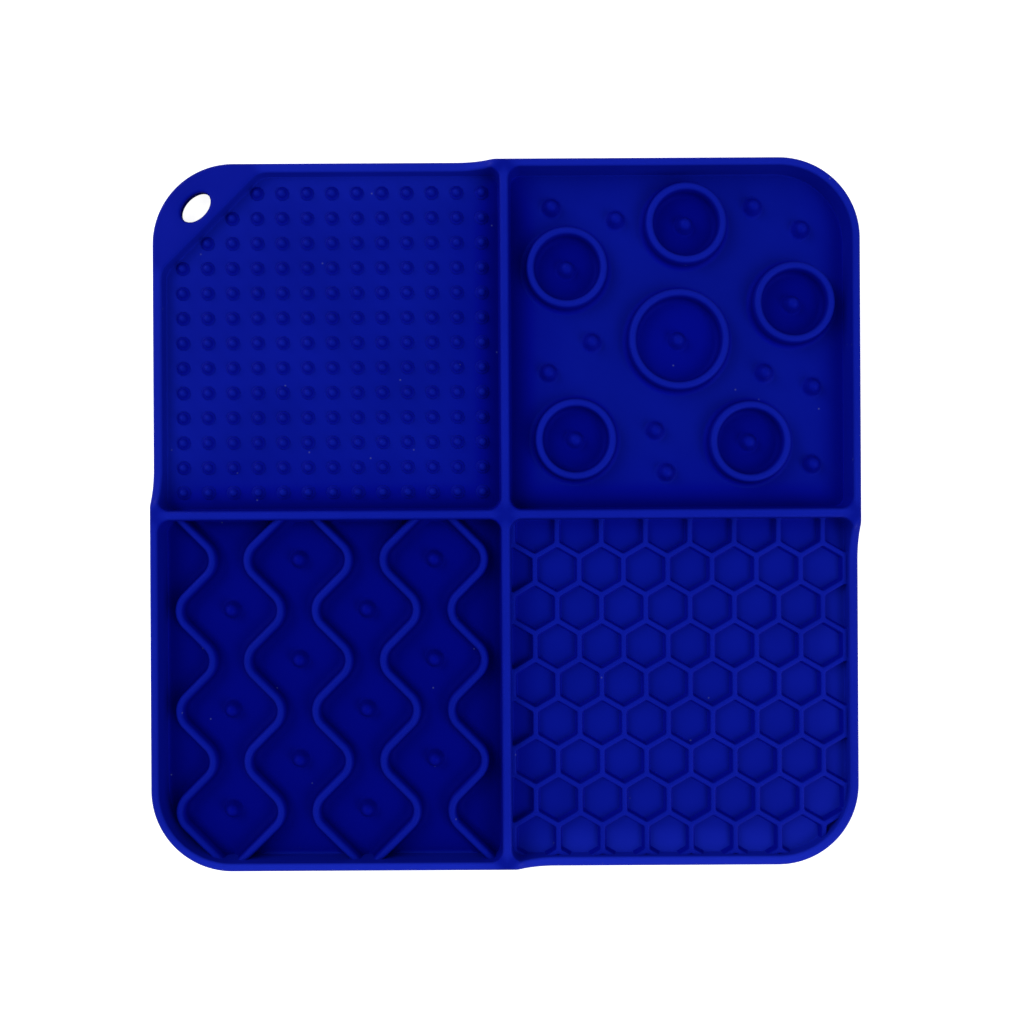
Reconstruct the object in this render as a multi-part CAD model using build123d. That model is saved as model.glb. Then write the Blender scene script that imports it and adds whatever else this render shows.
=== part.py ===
"""A square silicone lick mat, in millimetres, +Z up, with its origin under the middle of the mat.

Seen from above, the nub bay is at the back left, the ring bay at the back right, the wave bay at the
front left and the honeycomb bay at the front right. The real mat is one moulding. Here each moulded
feature is a solid of its own, and neighbours meet face to face.
"""

from build123d import *
from collections import Counter
import math
import os

# Whole mat
mat_side = 200.0
mat_corner_radius = 23.0
floor_thickness = 2.0
bottom_edge_break = 0.5
cut_overrun = 1.0

# Rims and the cross of dividers: widths are taken along their tops, heights from the floor
rim_width = 2.5
divider_width = 2.5
high_wall_height = 8.0
low_wall_height = 4.0
ramp_length = 10.0
ramp_end_gap = 4.5
bay_corner_radius = 3.5
top_edge_break = 0.5
outer_draft_degrees = 2.0
bay_draft_degrees = 3.0

# Cut-off corner of the nub bay, with the plate that the mat hangs by
corner_cut_leg = 27.8
corner_cut_blend = 6.0
hole_length = 10.0
hole_width = 6.4
hole_land = 2.4

# Short nubs, on a square grid
short_nub_pitch = 7.14
short_nub_base = 3.5
short_nub_top = 2.0
short_nub_height = 1.8
short_nub_edge_gap = 4.0
nub_sides = 6

# Tall nubs: in the rings, between the rings and between the waves
tall_nub_base = 4.5
tall_nub_top = 2.2
tall_nub_height = 3.8

# Ring cups: diameters are outside
ring_diameter = 22.9
large_ring_diameter = 28.5
ring_wall = 1.9
ring_height = 5.0
ring_place_shares = [(0.171, 0.713), (0.522, 0.842), (0.840, 0.607), (0.195, 0.207), (0.709, 0.198)]
large_ring_place_share = (0.5, 0.5)
scattered_nub_place_shares = [
    (0.127, 0.897), (0.318, 0.860), (0.726, 0.896), (0.867, 0.829), (0.246, 0.497), (0.117, 0.407),
    (0.758, 0.404), (0.900, 0.362), (0.433, 0.234), (0.465, 0.110), (0.898, 0.132),
]

# Wave ridges: neighbours mirror each other, and a tall nub stands in each wide place between two. The lead-in
# runs from the middle divider's side to the first bend.
wave_ridge_count = 5
wave_width = 2.0
wave_height = 5.0
wave_swing = 14.25
wave_half_period = 14.25
wave_bend_radius = 5.8
wave_lead_in_length = 11.4
wave_nub_edge_gap = 2.0

# Honeycomb: the lead-ins run from the two dividers' sides to the middle of the first cell
cell_pitch = 12.63
cell_wall = 1.37
cell_height = 2.3
cell_draft_degrees = 4.0
cell_side_lead_in_length = 13.3
cell_back_lead_in_length = 14.6

# Worked out from the sizes above
half_side = mat_side / 2
floor_top = floor_thickness
wall_top = floor_top + high_wall_height
low_wall_top = floor_top + low_wall_height
bay_near = divider_width / 2
bay_far = half_side - rim_width
bay_span = bay_far - bay_near
arm_reach = bay_near + bay_corner_radius / 2
star_reach = bay_near + bay_corner_radius + divider_width
cut_blend_length = corner_cut_blend * math.tan(math.radians(45) / 2)
tab_reach = bay_far - corner_cut_leg - cut_blend_length - rim_width
hole_centre = bay_far - (corner_cut_leg - math.sqrt(2) * (hole_land + hole_width / 2)) / 2

# The bays, in the order of the quarter turns that bring the back right quarter to their places
RING_BAY, NUB_BAY, WAVE_BAY, HONEYCOMB_BAY = BAYS = ["ring", "nub", "wave", "honeycomb"]


def turned(bay, shape):
    """A shape drawn in the back right quarter, turned into the quarter of a bay."""
    return Rot(0, 0, 90 * BAYS.index(bay)) * shape


def mat_outline():
    """The rounded square that the whole mat fills."""
    return RectangleRounded(mat_side, mat_side, mat_corner_radius)


def bay_outline(bay):
    """The mouth of a bay, drawn in the back right quarter: three small corners and the outer one."""
    near, far = bay_near, bay_far
    if bay == NUB_BAY:
        cut = far - corner_cut_leg
        outer_points, outer_radii = [(far, cut), (cut, far)], [corner_cut_blend] * 2
    else:
        outer_points, outer_radii = [(far, far)], [mat_corner_radius - rim_width]
    points = [(near, near), (far, near), *outer_points, (near, far)]
    radii = [bay_corner_radius] * 2 + outer_radii + [bay_corner_radius]
    return make_face(FilletPolyline(*points, radius=radii, close=True))


def hollow(mouth, depth, draft_degrees):
    """The room under a mouth, down to the floor, with sides that lean in for the mould."""
    upturned = extrude(mouth, amount=depth, taper=draft_degrees)
    return Pos(0, 0, floor_top + depth) * mirror(upturned, about=Plane.XY)


def bay_space(bay):
    """The room inside a bay, from its floor to the top of the high walls."""
    return turned(bay, hollow(bay_outline(bay), high_wall_height, bay_draft_degrees))


def low_rim_relief():
    """What is taken off above a low rim, drawn in the back right quarter.

    The rim's top is level and climbs to the top of the dividers along an arc near both of its ends.
    """
    outer, top = half_side + cut_overrun, wall_top + cut_overrun
    ramp_end = bay_near + ramp_end_gap
    ramp_start = ramp_end + ramp_length
    level = Line((outer, low_wall_top), (ramp_start, low_wall_top))
    ramp = TangentArc((ramp_start, low_wall_top), (ramp_end, wall_top), tangent=(-1, 0))
    lid = Polyline((ramp_end, wall_top), (ramp_end, top), (outer, top), (outer, low_wall_top))
    profile = make_face(level + ramp + lid)
    along_y = extrude(Plane.XZ * profile, amount=-outer)
    along_x = extrude(Plane.YZ * profile, amount=outer)
    return along_y & along_x


def broken_top_edges(body):
    """A body with a bevel along every edge that bounds just one of its upward faces."""
    upward = [face for face in body.faces() if face.normal_at(face.center()).Z > math.cos(math.radians(60))]
    owners = Counter(edge for face in upward for edge in face.edges())
    rim_edges = [edge for edge, count in owners.items() if count == 1]
    return chamfer(rim_edges, top_edge_break)


def wall_frame():
    """All rims, dividers and the hanging plate as one body, before it is parted into nodes."""
    blank = extrude(Pos(0, 0, floor_top) * mat_outline(), amount=high_wall_height, taper=outer_draft_degrees)
    spaces = [bay_space(bay) for bay in BAYS]
    reliefs = [turned(bay, low_rim_relief()) for bay in (NUB_BAY, HONEYCOMB_BAY)]
    return broken_top_edges(blank - spaces - reliefs)


def block(x_low, x_high, y_low, y_high):
    """A block over a stretch of the mat, as tall as the walls, that parts the wall frame."""
    size = (x_high - x_low, y_high - y_low, high_wall_height)
    return Pos(x_low, y_low, floor_top) * Box(*size, align=Align.MIN)


def hanging_hole():
    """The oval hole through the hanging plate and the floor, long across the mat's diagonal."""
    depth = wall_top + 2 * cut_overrun
    oval = extrude(Ellipse(hole_length / 2, hole_width / 2), amount=depth)
    return Pos(-hole_centre, hole_centre, -cut_overrun) * Rot(0, 0, 45) * oval


def base_sheet():
    """The flat floor, bevelled under its edge, with the hanging hole."""
    sheet = extrude(mat_outline(), amount=floor_thickness)
    under_edge = sheet.faces().sort_by(Axis.Z)[0].edges()
    return chamfer(under_edge, bottom_edge_break) - hanging_hole()


def hanging_tab(frame):
    """The plate in the cut-off corner of the nub bay, with the hanging hole."""
    plate = frame & turned(NUB_BAY, block(tab_reach, half_side, tab_reach, half_side))
    return plate - hanging_hole()


def nub(base_diameter, top_diameter, height):
    """A round nub that narrows upwards, drawn with a few flats because it is repeated so often."""
    narrowing = (base_diameter - top_diameter) / 2 * math.cos(math.pi / nub_sides)
    taper = math.degrees(math.atan2(narrowing, height))
    foot = Pos(0, 0, floor_top) * RegularPolygon(base_diameter / 2, nub_sides)
    return extrude(foot, amount=height, taper=taper)


def short_nub():
    """One nub of the nub bay."""
    return nub(short_nub_base, short_nub_top, short_nub_height)


def tall_nub():
    """One nub of the ring bay or the wave bay."""
    return nub(tall_nub_base, tall_nub_top, tall_nub_height)


def group(shapes):
    """Separate solids kept together as one node."""
    return Compound(children=list(shapes))


def short_nub_places():
    """The square grid of the nub bay, without the nubs that the cut-off corner has no room for."""
    count = int((bay_span - 2 * short_nub_edge_gap) / short_nub_pitch) + 1
    middle = bay_near + bay_span / 2
    steps = [(index - (count - 1) / 2) * short_nub_pitch for index in range(count)]
    room = 2 * bay_far - corner_cut_leg - math.sqrt(2) * short_nub_base / 2
    return [(-middle - x, middle + y) for x in steps for y in steps if 2 * middle + x + y < room]


def ring_bay_place(share):
    """A place in the ring bay, from its shares of the bay's span."""
    return Pos(bay_near + share[0] * bay_span, bay_near + share[1] * bay_span)


def ring_cup(diameter):
    """One upright ring wall about the Z axis."""
    outline = Circle(diameter / 2) - Circle(diameter / 2 - ring_wall)
    return extrude(Pos(0, 0, floor_top) * outline, amount=ring_height)


def wave_bend_distances():
    """How far each bend of a wave lies from the middle divider's side, one past each end."""
    count = math.ceil((bay_span - wave_lead_in_length) / wave_half_period) + 1
    return [wave_lead_in_length + (index - 1) * wave_half_period for index in range(count + 1)]


def wave_ridge(index, space):
    """One wave ridge: slanting runs and round bends, trimmed by the walls at its two ends."""
    middle = -bay_far + (index + 1 / 2) * bay_span / wave_ridge_count
    side = 1 if index % 2 else -1
    bends = [
        (middle + side * wave_swing / 2 * (-1) ** step, -bay_near - distance)
        for step, distance in enumerate(wave_bend_distances())
    ]
    path = FilletPolyline(*bends, radius=wave_bend_radius)
    start = Plane(path @ 0, x_dir=Vector(0, 0, 1).cross(path % 0), z_dir=path % 0)
    section = Rectangle(wave_width, wave_height, align=(Align.CENTER, Align.MIN))
    return sweep(start * Pos(0, floor_top) * section, path=path) & space


def wave_nub_places():
    """A nub in each wide place between two waves, where it has room beside the walls."""
    margin = tall_nub_base / 2 + wave_nub_edge_gap
    places = []
    for gap in range(1, wave_ridge_count):
        across = -bay_far + gap * bay_span / wave_ridge_count
        for step, distance in enumerate(wave_bend_distances()):
            if (step + gap) % 2 == 1 and margin < distance < bay_span - margin:
                places.append((across, -bay_near - distance))
    return places


def honeycomb_grid(space):
    """Hexagon walls over the whole floor of the honeycomb bay, open at the bay's sides."""
    row_pitch = cell_pitch * math.sqrt(3) / 2
    rows = range(-2, math.ceil(bay_span / row_pitch) + 1)
    columns = range(-2, math.ceil(bay_span / cell_pitch) + 1)
    mouth = RegularPolygon((cell_pitch - cell_wall) / 2, 6, major_radius=False, rotation=30)
    cell = hollow(mouth, cell_height, cell_draft_degrees)
    cells = []
    for row in rows:
        for column in columns:
            across = bay_near + cell_side_lead_in_length + (column - row % 2 / 2) * cell_pitch
            cells.append(Pos(across, -bay_near - cell_back_lead_in_length - row * row_pitch) * cell)
    slab = space & (Pos(bay_near, -bay_far, floor_top) * Box(bay_span, bay_span, cell_height, align=Align.MIN))
    return slab - cells


def wall_nodes(frame):
    """The wall frame parted into rims, the cross of dividers and the hanging plate.

    The spine runs from the front edge to the back edge and holds the star in the middle of the cross.
    """
    side, star, edge = arm_reach, star_reach, half_side
    arm = block(star, edge, -side, side)
    quarter = block(side, edge, side, edge) - block(side, star, side, star)
    spine = block(-side, side, -edge, edge) + block(-star, star, -star, star)
    return {
        "divider_spine": frame & spine,
        "divider_right": frame & arm,
        "divider_left": frame & Rot(0, 0, 180) * arm,
        "rim_ring_bay": frame & turned(RING_BAY, quarter),
        "rim_wave_bay": frame & turned(WAVE_BAY, quarter),
        "rim_honeycomb_bay": frame & turned(HONEYCOMB_BAY, quarter),
        "nub_rim_left": frame & block(-edge, -star, side, tab_reach),
        "nub_rim_back": frame & block(-tab_reach, -side, star, edge),
        "hanging_tab": hanging_tab(frame),
    }


def all_nodes():
    """Every node of the mat by name."""
    nodes = {"base_sheet": base_sheet(), **wall_nodes(wall_frame())}
    nodes["nub_field"] = group(Pos(*place) * short_nub() for place in short_nub_places())
    nodes["ring_cups"] = group(ring_bay_place(share) * ring_cup(ring_diameter) for share in ring_place_shares)
    nodes["ring_cup_large"] = ring_bay_place(large_ring_place_share) * ring_cup(large_ring_diameter)
    ring_centres = [*ring_place_shares, large_ring_place_share]
    nodes["ring_centre_nubs"] = group(ring_bay_place(share) * tall_nub() for share in ring_centres)
    nodes["scattered_nubs"] = group(ring_bay_place(share) * tall_nub() for share in scattered_nub_place_shares)
    wave_space = bay_space(WAVE_BAY)
    for index in range(wave_ridge_count):
        nodes[f"wave_ridge_{index + 1}"] = wave_ridge(index, wave_space)
    nodes["wave_nubs"] = group(Pos(*place) * tall_nub() for place in wave_nub_places())
    nodes["honeycomb_grid"] = honeycomb_grid(bay_space(HONEYCOMB_BAY))
    return nodes


os.makedirs("parts", exist_ok=True)
for name, shape in all_nodes().items():
    export_step(shape, f"parts/{name}.step")
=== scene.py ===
"""The looks of a square silicone lick mat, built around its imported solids.

The real mat is one moulding, so its floor, rims, dividers and hanging plate are one seamless skin here, and
the nubs, rings, waves and honeycomb stand on it with flared feet. Shapes are worked out in millimetres, with
+Z up and the origin under the middle of the mat, and become metres when they are put into a mesh.
"""

from __future__ import annotations

import logging
import math
from collections.abc import Sequence
from dataclasses import dataclass, replace
from enum import Enum

import bmesh
import bpy
import numpy as np
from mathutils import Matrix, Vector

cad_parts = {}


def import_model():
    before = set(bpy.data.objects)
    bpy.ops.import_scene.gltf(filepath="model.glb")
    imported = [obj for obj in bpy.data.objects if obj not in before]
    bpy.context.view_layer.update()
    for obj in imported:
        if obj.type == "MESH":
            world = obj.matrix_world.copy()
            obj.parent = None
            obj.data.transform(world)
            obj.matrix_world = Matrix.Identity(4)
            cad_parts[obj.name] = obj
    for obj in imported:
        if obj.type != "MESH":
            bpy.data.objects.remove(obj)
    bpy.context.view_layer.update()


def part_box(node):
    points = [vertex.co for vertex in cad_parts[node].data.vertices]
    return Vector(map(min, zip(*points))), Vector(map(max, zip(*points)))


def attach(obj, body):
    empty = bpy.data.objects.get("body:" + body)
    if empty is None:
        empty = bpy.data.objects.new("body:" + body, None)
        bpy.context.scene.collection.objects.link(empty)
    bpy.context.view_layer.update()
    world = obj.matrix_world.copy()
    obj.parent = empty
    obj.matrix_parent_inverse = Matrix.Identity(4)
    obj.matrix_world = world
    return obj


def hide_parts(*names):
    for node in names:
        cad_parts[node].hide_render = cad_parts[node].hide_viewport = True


MM = 0.001
BODY = "root"
SHARP_ANGLE = math.radians(60.0)
# Points of a piece that lie closer than this, in millimetres, are welded.
WELD = 0.002
# The mesh attribute that holds each vertex's painted shading: painted highlight above zero, painted shade
# below.
PAINTED_SHADING = "lift"
# How much painted shade the floor between the waves shows, in place of the shade that the waves cast.
WAVE_FLOOR_SHADE = 0.56
# Both parts of a unit vector along a diagonal.
DIAGONAL = math.sqrt(0.5)
Colour = tuple[float, float, float]
log = logging.getLogger("lick_mat")


class Bay(Enum):
    """The four bays, each by the quarter turns that bring the back right quarter to its place."""

    RING = 0
    NUB = 1
    WAVE = 2
    HONEYCOMB = 3

    @property
    def low(self) -> bool:
        """Whether the bay has low rims."""
        return self in (Bay.NUB, Bay.HONEYCOMB)

    def turned(self, points: np.ndarray) -> np.ndarray:
        """Turns points of the back right quarter into this bay's quarter.

        Args:
            points: Any array whose last axis holds x, y and perhaps z.

        Returns:
            The turned points, in an array of the same shape.
        """
        cosine, sine = ((1, 0), (0, 1), (-1, 0), (0, -1))[self.value]
        out = points.copy()
        out[..., 0] = cosine * points[..., 0] - sine * points[..., 1]
        out[..., 1] = sine * points[..., 0] + cosine * points[..., 1]
        return out


@dataclass(frozen=True)
class MatSizes:
    """Sizes that several pieces share, in millimetres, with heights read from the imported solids."""

    half_side: float
    floor_top: float
    wall_top: float
    low_top: float
    rim_width: float = 2.5
    divider_width: float = 2.5
    corner_radius: float = 23.0
    bay_corner_radius: float = 3.5
    wall_draft: float = math.radians(3.0)
    outer_draft: float = math.radians(2.0)
    ramp_end: float = 3.0
    ramp_length: float = 10.5
    ramp_softening: float = 0.7
    cut_leg: float = 27.8
    cut_blend: float = 6.0

    @classmethod
    def from_frame(cls) -> MatSizes:
        """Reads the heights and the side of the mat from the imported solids.

        Returns:
            The sizes.
        """
        sheet_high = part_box("base_sheet")[1]
        return cls(
            half_side=sheet_high[0] / MM,
            floor_top=sheet_high[2] / MM,
            wall_top=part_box("divider_spine")[1][2] / MM,
            low_top=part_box("hanging_tab")[1][2] / MM,
        )

    @property
    def near(self) -> float:
        """How far a bay's mouth lies from the middle of the mat."""
        return self.divider_width / 2

    @property
    def far(self) -> float:
        """How far a bay's mouth reaches from the middle of the mat."""
        return self.half_side - self.rim_width

    @property
    def span(self) -> float:
        """The side of a bay's mouth."""
        return self.far - self.near

    @property
    def crest(self) -> float:
        """How far the middle line of a rim lies from the middle of the mat."""
        return self.half_side - self.rim_width / 2

    @property
    def corner_centre(self) -> float:
        """Both coordinates of the centre of the mat's round corner."""
        return self.half_side - self.corner_radius

    def height_of(self, node: str) -> float:
        """Gives how high the solids of a node stand over the floor."""
        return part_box(node)[1][2] / MM - self.floor_top

    def crest_height(self, points: np.ndarray, bay: Bay) -> np.ndarray:
        """Gives the height of the wall's crest over points of the back right quarter.

        A low rim is level and climbs to the dividers along an arc that leaves the level smoothly. The
        arc is cut off by the dividers' height with a softened minimum.

        Args:
            points: Array (n, 2) of places along the crest.
            bay: The bay that the wall belongs to.

        Returns:
            Array (n,) of heights above the underside.
        """
        if not bay.low:
            return np.full(len(points), self.wall_top)
        rise = self.wall_top - self.low_top
        radius = (self.ramp_length**2 + rise**2) / (2 * rise)
        start = self.ramp_end + self.ramp_length
        along = np.clip(start - np.min(np.abs(points), axis=1), 0, radius)
        climb = radius - np.sqrt(radius**2 - along**2)
        soft = self.ramp_softening
        blend = np.clip(0.5 + (rise - climb) / (2 * soft), 0, 1)
        lower = climb * blend + rise * (1 - blend) - soft * blend * (1 - blend)
        return self.low_top + np.clip(lower, 0, rise)


@dataclass
class Surface:
    """A patchwork of four-sided faces; a face may close to a point on two of its corners.

    lift tells for each vertex how far the silicone shows a painted highlight, the brighter
    blue of a narrow crest, up to 1, or painted shade, the deeper blue beside a wall, down to -1.
    """

    vertices: np.ndarray
    faces: np.ndarray
    lift: np.ndarray

    @classmethod
    def from_grid(
        cls,
        grid: np.ndarray,
        lift: np.ndarray | float = 0.0,
        close_rows: bool = False,
        close_columns: bool = False,
    ) -> Surface:
        """Lays faces over a grid of points.

        Args:
            grid: Array (rows, columns, 3).
            lift: The vertices' painted shading, in any shape that spreads over the grid.
            close_rows: Whether the last row is joined to the first.
            close_columns: Whether the last column is joined to the first.

        Returns:
            The surface.
        """
        rows, columns = grid.shape[:2]
        index = np.arange(rows * columns).reshape(rows, columns)
        if close_rows:
            index = np.concatenate([index, index[:1]], axis=0)
        if close_columns:
            index = np.concatenate([index, index[:, :1]], axis=1)
        corners = [index[:-1, :-1], index[:-1, 1:], index[1:, 1:], index[1:, :-1]]
        lifts = np.broadcast_to(lift, (rows, columns)).reshape(-1)
        return cls(grid.reshape(-1, 3), np.stack(corners, axis=-1).reshape(-1, 4), lifts)

    @classmethod
    def joined(cls, parts: Sequence[Surface]) -> Surface:
        """Puts several surfaces together as one.

        Args:
            parts: The surfaces.

        Returns:
            One surface with all their faces.
        """
        starts = np.cumsum([0] + [len(part.vertices) for part in parts[:-1]])
        faces = [part.faces + start for part, start in zip(parts, starts)]
        lifts = np.concatenate([part.lift for part in parts])
        return cls(np.concatenate([part.vertices for part in parts]), np.concatenate(faces), lifts)

    def repeated(self, places: np.ndarray) -> Surface:
        """Copies the surface to every place.

        Args:
            places: Array (n, 2) of places in plan.

        Returns:
            All the copies as one surface.
        """
        shifts = np.pad(places, ((0, 0), (0, 1)))
        vertices = self.vertices[None] + shifts[:, None]
        steps = np.arange(len(places)) * len(self.vertices)
        faces = self.faces[None] + steps[:, None, None]
        return Surface(vertices.reshape(-1, 3), faces.reshape(-1, 4), np.tile(self.lift, len(places)))


@dataclass
class Wiring:
    """A material's node tree, with short ways to add nodes to it."""

    tree: bpy.types.NodeTree

    def feed(self, node: bpy.types.Node, inputs: dict[str | int, object]) -> None:
        """Sets inputs of a node, and links those that are given a socket.

        Args:
            node: The node.
            inputs: A value or a socket for each input, by its name or number.
        """
        for name, value in inputs.items():
            if isinstance(value, bpy.types.NodeSocket):
                self.tree.links.new(value, node.inputs[name])
            else:
                node.inputs[name].default_value = value

    def add(
        self, kind: str, inputs: dict[str | int, object] | None = None, **settings: str
    ) -> bpy.types.Node:
        """Adds a node to the tree.

        Args:
            kind: The node's type.
            inputs: A value or a socket for each input, by its name or number.
            settings: The node's own settings.

        Returns:
            The node.
        """
        node = self.tree.nodes.new(kind)
        for name, value in settings.items():
            setattr(node, name, value)
        self.feed(node, inputs or {})
        return node

    def mapped(
        self,
        value: bpy.types.NodeSocket,
        source: tuple[float, float],
        target: tuple[float, float] = (0.0, 1.0),
    ) -> bpy.types.NodeSocket:
        """Maps one range of a value to another, and holds it at the ends.

        Args:
            value: The value.
            source: The ends of the value's range.
            target: What these ends become.

        Returns:
            The mapped value.
        """
        ends = zip(("From Min", "From Max", "To Min", "To Max"), (*source, *target))
        node = self.add("ShaderNodeMapRange", {"Value": value, **dict(ends)})
        return node.outputs["Result"]

    def mixed(
        self, share: bpy.types.NodeSocket, colour: bpy.types.NodeSocket, other: Colour
    ) -> bpy.types.NodeSocket:
        """Mixes a share of another colour into a colour and returns the result."""
        inputs = {"Factor": share, "A": colour, "B": (*other, 1.0)}
        return self.add("ShaderNodeMix", inputs, data_type="RGBA").outputs["Result"]


@dataclass(frozen=True)
class Noise:
    """A noise over a piece's own coordinates, with the strength and the depth of the bump that it makes."""

    scale: float
    detail: float
    strength: float = 0.0
    depth: float = 0.0

    def value(self, wiring: Wiring, place: bpy.types.NodeSocket) -> bpy.types.NodeSocket:
        """Adds the noise and returns its value."""
        inputs = {"Vector": place, "Scale": self.scale, "Detail": self.detail}
        return wiring.add("ShaderNodeTexNoise", inputs).outputs["Fac"]

    def bump(self, height: bpy.types.NodeSocket) -> dict[str, object]:
        """Gives the inputs of the bump that the noise's value makes."""
        return {"Height": height, "Strength": self.strength, "Distance": self.depth * MM}


@dataclass(frozen=True)
class SiliconeFinish:
    """Satin silicone: a deep blue with faint clouding, a fine moulded grain, a few specks of dust, and the
    painted highlights and painted shade that each mesh carries.
    """

    name: str
    colour: Colour = (0.0030, 0.0095, 0.362)
    clouded: Colour = (0.0022, 0.0076, 0.312)
    # Painted highlight on narrow crests, painted half shade, and painted shade in recesses and beside walls.
    crest: Colour = (0.0100, 0.0265, 0.590)
    half_shade: Colour = (0.0012, 0.0040, 0.340)
    half_shade_lift: float = -0.3
    painted_recess_shade: Colour = (0.0001, 0.0003, 0.125)
    roughness: tuple[float, float] = (0.47, 0.54)
    specular: float = 0.35
    sheen_tint: Colour = (0.01, 0.03, 1.0)
    clouds: Noise = Noise(scale=38.0, detail=3.0)
    cloud_range: tuple[float, float] = (0.32, 0.68)
    grain: Noise = Noise(scale=1500.0, detail=2.0, strength=0.10, depth=0.05)
    ripple: Noise = Noise(scale=90.0, detail=2.0, strength=0.06, depth=0.4)
    ripple_range: tuple[float, float] = (0.3, 0.7)
    dust_scale: float = 120.0
    dust_range: tuple[float, float] = (0.016, 0.040)
    dust_cover: float = 0.6
    dust_colour: Colour = (0.10, 0.12, 0.36)

    def material(self) -> bpy.types.Material:
        """Makes the finish's node material, or returns the one made before.

        The mesh's painted shading goes into the colour as painted highlights and painted shade, and the
        painted shade takes the gloss away towards the deepest recess. Roughness follows a noise, and bump
        adds that noise as a slow ripple and another as a fine grain.

        Returns:
            The material.
        """
        made = bpy.data.materials.get(self.name)
        if made:
            return made
        material = bpy.data.materials.new(self.name)
        material.use_nodes = True
        wiring = Wiring(material.node_tree)
        place = wiring.add("ShaderNodeTexCoord").outputs["Object"]
        lift = wiring.add("ShaderNodeAttribute", attribute_name=PAINTED_SHADING).outputs["Fac"]
        ripple = self.ripple.value(wiring, place)
        grain = self.grain.value(wiring, place)
        slow = wiring.add("ShaderNodeBump", self.ripple.bump(ripple)).outputs["Normal"]
        fine = wiring.add("ShaderNodeBump", {**self.grain.bump(grain), "Normal": slow}).outputs["Normal"]
        looks = {
            "Base Color": self._blue(wiring, place, lift),
            "Roughness": wiring.mapped(ripple, self.ripple_range, self.roughness),
            "Specular IOR Level": wiring.mapped(lift, (-1.0, 0.0), (0.0, self.specular)),
            "Specular Tint": (*self.sheen_tint, 1.0),
            "Normal": fine,
        }
        wiring.feed(material.node_tree.nodes["Principled BSDF"], looks)
        return material

    def _blue(
        self, wiring: Wiring, place: bpy.types.NodeSocket, lift: bpy.types.NodeSocket
    ) -> bpy.types.NodeSocket:
        """Wires up the colour.

        The slow noise blends two blues. The painted shading brings in the blue of a painted highlight on
        crests and the blues of painted half shade and painted shade in recesses, each over its own range.
        Specks of dust lie where the nearest point of a scattered cell is very close.

        Args:
            wiring: The material's wiring.
            place: The coordinates.
            lift: The mesh's painted shading.

        Returns:
            The colour.
        """
        ramp = wiring.add("ShaderNodeValToRGB", {"Fac": self.clouds.value(wiring, place)})
        elements = ramp.color_ramp.elements
        for element, position, blue in zip(elements, self.cloud_range, (self.clouded, self.colour)):
            element.position = position
            element.color = (*blue, 1.0)
        colour = ramp.outputs["Color"]
        # Mixes in the painted highlight on crests and the painted shade beside walls and in recesses.
        half = self.half_shade_lift
        ranges = ((0.0, 1.0), (0.0, half), (half, -1.0))
        for blue, source in zip((self.crest, self.half_shade, self.painted_recess_shade), ranges):
            colour = wiring.mixed(wiring.mapped(lift, source), colour, blue)
        cells = wiring.add("ShaderNodeTexVoronoi", {"Vector": place, "Scale": self.dust_scale})
        cover = wiring.mapped(cells.outputs["Distance"], self.dust_range, (self.dust_cover, 0.0))
        return wiring.mixed(cover, colour, self.dust_colour)


SKIN = SiliconeFinish("silicone_skin")
RIDGES = replace(SKIN, name="silicone_ridges", ripple=replace(SKIN.ripple, strength=0.04))


def quarter_arc(steps: int) -> tuple[np.ndarray, np.ndarray]:
    """Gives the sines and cosines of evenly spaced angles from 0 to a quarter turn."""
    angles = np.linspace(0, math.pi / 2, steps + 1)
    return np.sin(angles), np.cos(angles)


def directions(angles: np.ndarray) -> np.ndarray:
    """Gives the unit vectors of angles, along a new last axis."""
    return np.stack([np.cos(angles), np.sin(angles)], axis=-1)


def circle(steps: int) -> np.ndarray:
    """Gives the unit vectors of evenly spaced angles round a circle."""
    return directions(np.arange(steps) / steps * 2 * math.pi)


def along_line(where: np.ndarray, knots: Sequence[float], points: np.ndarray) -> np.ndarray:
    """Gives the points in plan at places along a line, between points at the knots."""
    return np.stack([np.interp(where, knots, points[:, axis]) for axis in (0, 1)], axis=1)


def raised(plan: np.ndarray, level: np.ndarray | float) -> np.ndarray:
    """Gives a grid of points in plan its heights, which come in any shape that spreads over the grid."""
    return np.concatenate([plan, np.broadcast_to(level, plan.shape[:2])[..., None]], axis=2)


def wall_trims(sizes: MatSizes, bay: Bay, bite: float, corner_cuts: int = 9) -> np.ndarray:
    """Gives upright planes a little way inside the walls of a bay, which a piece can be cut off at.

    There is one plane for each side of the bay, and a fan of them touches the round of its outer corner.

    Args:
        sizes: The mat's sizes.
        bay: The bay.
        bite: How far the planes lie beyond the bay's mouth.
        corner_cuts: How many planes follow the outer corner.

    Returns:
        Array (n, 2, 3) of points and of outward directions.
    """
    near, far = sizes.near - bite, sizes.far + bite
    sides = np.array([(near, 0, 0), (far, 0, 0), (0, near, 0), (0, far, 0)], dtype=float)
    outward = np.array([(-1, 0, 0), (1, 0, 0), (0, -1, 0), (0, 1, 0)], dtype=float)
    angles = np.linspace(0, math.pi / 2, corner_cuts + 2)[1:-1]
    fan = np.pad(directions(angles), ((0, 0), (0, 1)))
    radius = sizes.corner_radius - sizes.rim_width + bite
    corner = np.array([sizes.corner_centre, sizes.corner_centre, 0.0])
    planes = [np.concatenate([sides, corner + radius * fan]), np.concatenate([outward, fan])]
    return bay.turned(np.stack(planes, axis=1))


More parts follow.
